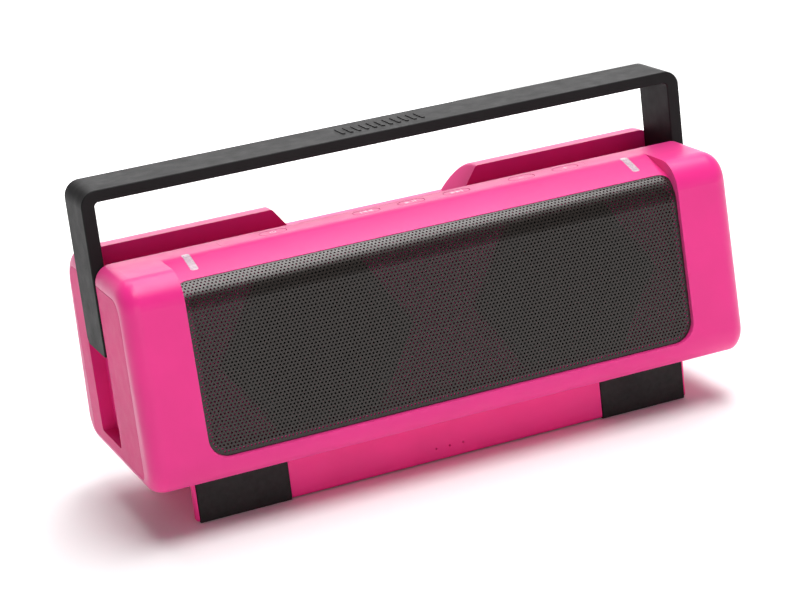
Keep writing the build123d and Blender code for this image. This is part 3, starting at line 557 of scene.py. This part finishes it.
def build_floor():
    """A pale round floor, faintly uneven, with a painted glow that brightens it outwards to meet the
    surroundings.
    """
    finish = Finish("studio_floor", Specular_IOR_Level=0.2)
    finish.colour(
        finish.ramp(finish.noise(1.5), (0.3, (0.9, 0.9, 0.9, 1)), (0.7, (0.94, 0.94, 0.94, 1)))
    )
    finish.roughness(finish.spread(finish.noise(20), 0.7, 0.8))
    # Painted glow: white emission that rises from half the radius out to the rim, so the floor's outer
    # ring shines though no lamp lights it.
    distance = finish.add("ShaderNodeVectorMath", operation="LENGTH")
    painted_glow = finish.add("ShaderNodeMapRange")
    painted_glow.inputs["From Min"].default_value = floor_radius / 2
    painted_glow.inputs["From Max"].default_value = floor_radius
    painted_glow.inputs["To Max"].default_value = 0.5
    finish.link(finish.place, distance.inputs[0])
    finish.link(distance.outputs["Value"], painted_glow.inputs["Value"])
    finish.link(painted_glow.outputs["Result"], finish.shader.inputs["Emission Strength"])
    finish.shader.inputs["Emission Color"].default_value = (1, 1, 1, 1)
    points = [(x, y, 0.0) for x, y in arc((0, 0), floor_radius, 0, 354, 59)]
    mesh = bpy.data.meshes.new("studio_floor")
    mesh.from_pydata(points, [], [list(range(len(points)))])
    mesh.materials.append(finish.material)
    floor = bpy.data.objects.new("studio_floor", mesh)
    bpy.context.scene.collection.objects.link(floor)


def softbox(name, at, size, power):
    """A rectangular area light that faces the middle of the object."""
    light = bpy.data.lights.new(name, "AREA")
    light.shape = "RECTANGLE"
    light.size, light.size_y = size
    light.energy = power
    box = bpy.data.objects.new(name, light)
    box.location = at
    box.rotation_euler = (studio_middle - Vector(at)).to_track_quat("-Z", "Y").to_euler()
    bpy.context.scene.collection.objects.link(box)


def build_light():
    """Surroundings that are bright low down, boxes overhead and behind, and a low one in front.

    The backdrop itself shows plain white in every direction.
    """
    world = bpy.data.worlds.new("studio")
    world.use_nodes = True
    tree = world.node_tree
    place = tree.nodes.new("ShaderNodeTexCoord")
    parts = tree.nodes.new("ShaderNodeSeparateXYZ")
    raised = tree.nodes.new("ShaderNodeMath")
    raised.inputs[1].default_value = horizon_shift
    height = tree.nodes.new("ShaderNodeValToRGB")
    elements = height.color_ramp.elements
    elements.new(0.5)
    elements.new(0.5)
    for element, (position, level) in zip(elements, surround_levels):
        element.position = position
        element.color = (level, level, level, 1)
    tree.links.new(place.outputs["Generated"], parts.inputs["Vector"])
    tree.links.new(parts.outputs["Z"], raised.inputs[0])
    tree.links.new(raised.outputs["Value"], height.inputs["Fac"])
    path = tree.nodes.new("ShaderNodeLightPath")
    backdrop = tree.nodes.new("ShaderNodeMath")
    backdrop.operation = "MAXIMUM"
    tree.links.new(height.outputs["Color"], backdrop.inputs[0])
    tree.links.new(path.outputs["Is Camera Ray"], backdrop.inputs[1])
    tree.links.new(backdrop.outputs["Value"], tree.nodes["Background"].inputs["Color"])
    tree.nodes["Background"].inputs["Strength"].default_value = surround_strength
    bpy.context.scene.world = world
    bpy.context.scene.view_settings.view_transform = "Standard"
    for name, (at, size, power) in softboxes.items():
        softbox(name, at, size, power)


def build_camera():
    """The camera, rolled about its own line of sight."""
    camera = bpy.data.cameras.new("camera")
    camera.lens = camera_lens
    camera.sensor_width = 36
    camera.clip_start = 0.05
    camera.clip_end = 60
    holder = bpy.data.objects.new("camera", camera)
    look = (camera_target - camera_at).to_track_quat("-Z", "Y").to_matrix().to_4x4()
    roll = Matrix.Rotation(-camera_roll, 4, "Z")
    holder.matrix_world = Matrix.Translation(camera_at) @ look @ roll
    bpy.context.scene.collection.objects.link(holder)
    bpy.context.scene.camera = holder


build_floor()
build_light()
build_camera()
